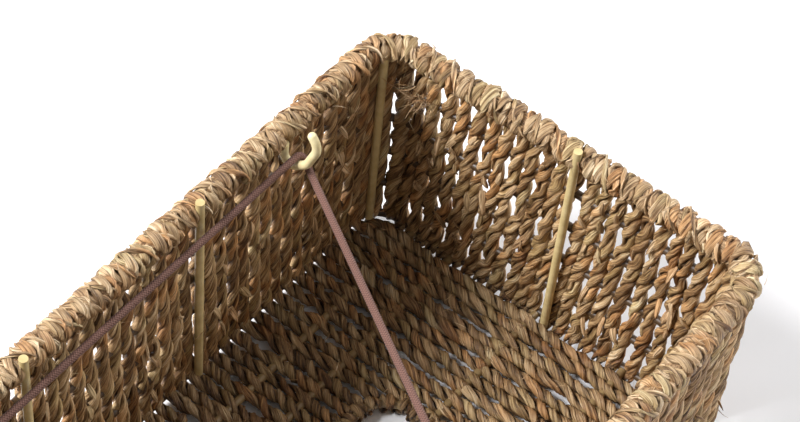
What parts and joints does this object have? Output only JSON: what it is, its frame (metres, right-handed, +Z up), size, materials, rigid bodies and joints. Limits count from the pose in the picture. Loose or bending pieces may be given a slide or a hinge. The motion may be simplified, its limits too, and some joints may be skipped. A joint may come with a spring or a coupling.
{
  "type": "storage basket",
  "caption": "Low rectangular seagrass basket woven over a wire frame, with a bound rim, a slot in its floor, wire hooks under the rim and an elastic loop stretched across the mouth.",
  "frame": {"origin": "middle of the underside, on the surface the basket stands on", "axes": "+X along the long walls, +Y towards the long wall with two hooks, +Z up, out of the open mouth"},
  "size_m": [0.2788, 0.1588, 0.1019],
  "materials": {
    "seagrass_wall": "matte",
    "seagrass_rim": "matte",
    "seagrass_floor": "matte",
    "frame_wire": "satin",
    "elastic_cord": "matte"
  },
  "bodies": {
    "basket": {"rim_wire": "frame_wire", "wall_wire_1": "frame_wire", "wall_wire_2": "frame_wire", "wall_wire_3": "frame_wire", "wall_wire_4": "frame_wire", "base_wire": "frame_wire", "slot_wire": "frame_wire", "floor_wire_1": "frame_wire", "floor_wire_2": "frame_wire", "floor_wire_3": "frame_wire", "floor_wire_4": "frame_wire", "floor_wire_left": "frame_wire", "floor_wire_right": "frame_wire", "stake_back_left": "frame_wire", "stake_back_right": "frame_wire", "stake_front_left": "frame_wire", "stake_front_right": "frame_wire", "stake_left_end": "frame_wire", "stake_right_end": "frame_wire", "stake_back_left_corner": "frame_wire", "stake_back_right_corner": "frame_wire", "stake_front_left_corner": "frame_wire", "stake_front_right_corner": "frame_wire", "hook_back_left": "frame_wire", "hook_back_right": "frame_wire", "hook_front": "frame_wire", "weave_back": "seagrass_wall", "weave_front": "seagrass_wall", "weave_left": "seagrass_wall", "weave_right": "seagrass_wall", "weave_corner_back_left": "seagrass_wall", "weave_corner_back_right": "seagrass_wall", "weave_corner_front_left": "seagrass_wall", "weave_corner_front_right": "seagrass_wall", "weave_floor": "seagrass_floor", "slot_binding": "seagrass_floor", "rim_binding": "seagrass_rim", "elastic_back_run": "elastic_cord"},
    "elastic_loop": {"elastic_front_loop": "elastic_cord", "elastic_knot": "elastic_cord"}
  },
  "joints": [
    {"name": "elastic_lift", "type": "hinge", "parent": "basket", "child": "elastic_loop", "pos_m": [0, 0.053, 0.08037], "axis": [-1, 0, 0], "range_deg": [0, 100]}
  ]
}
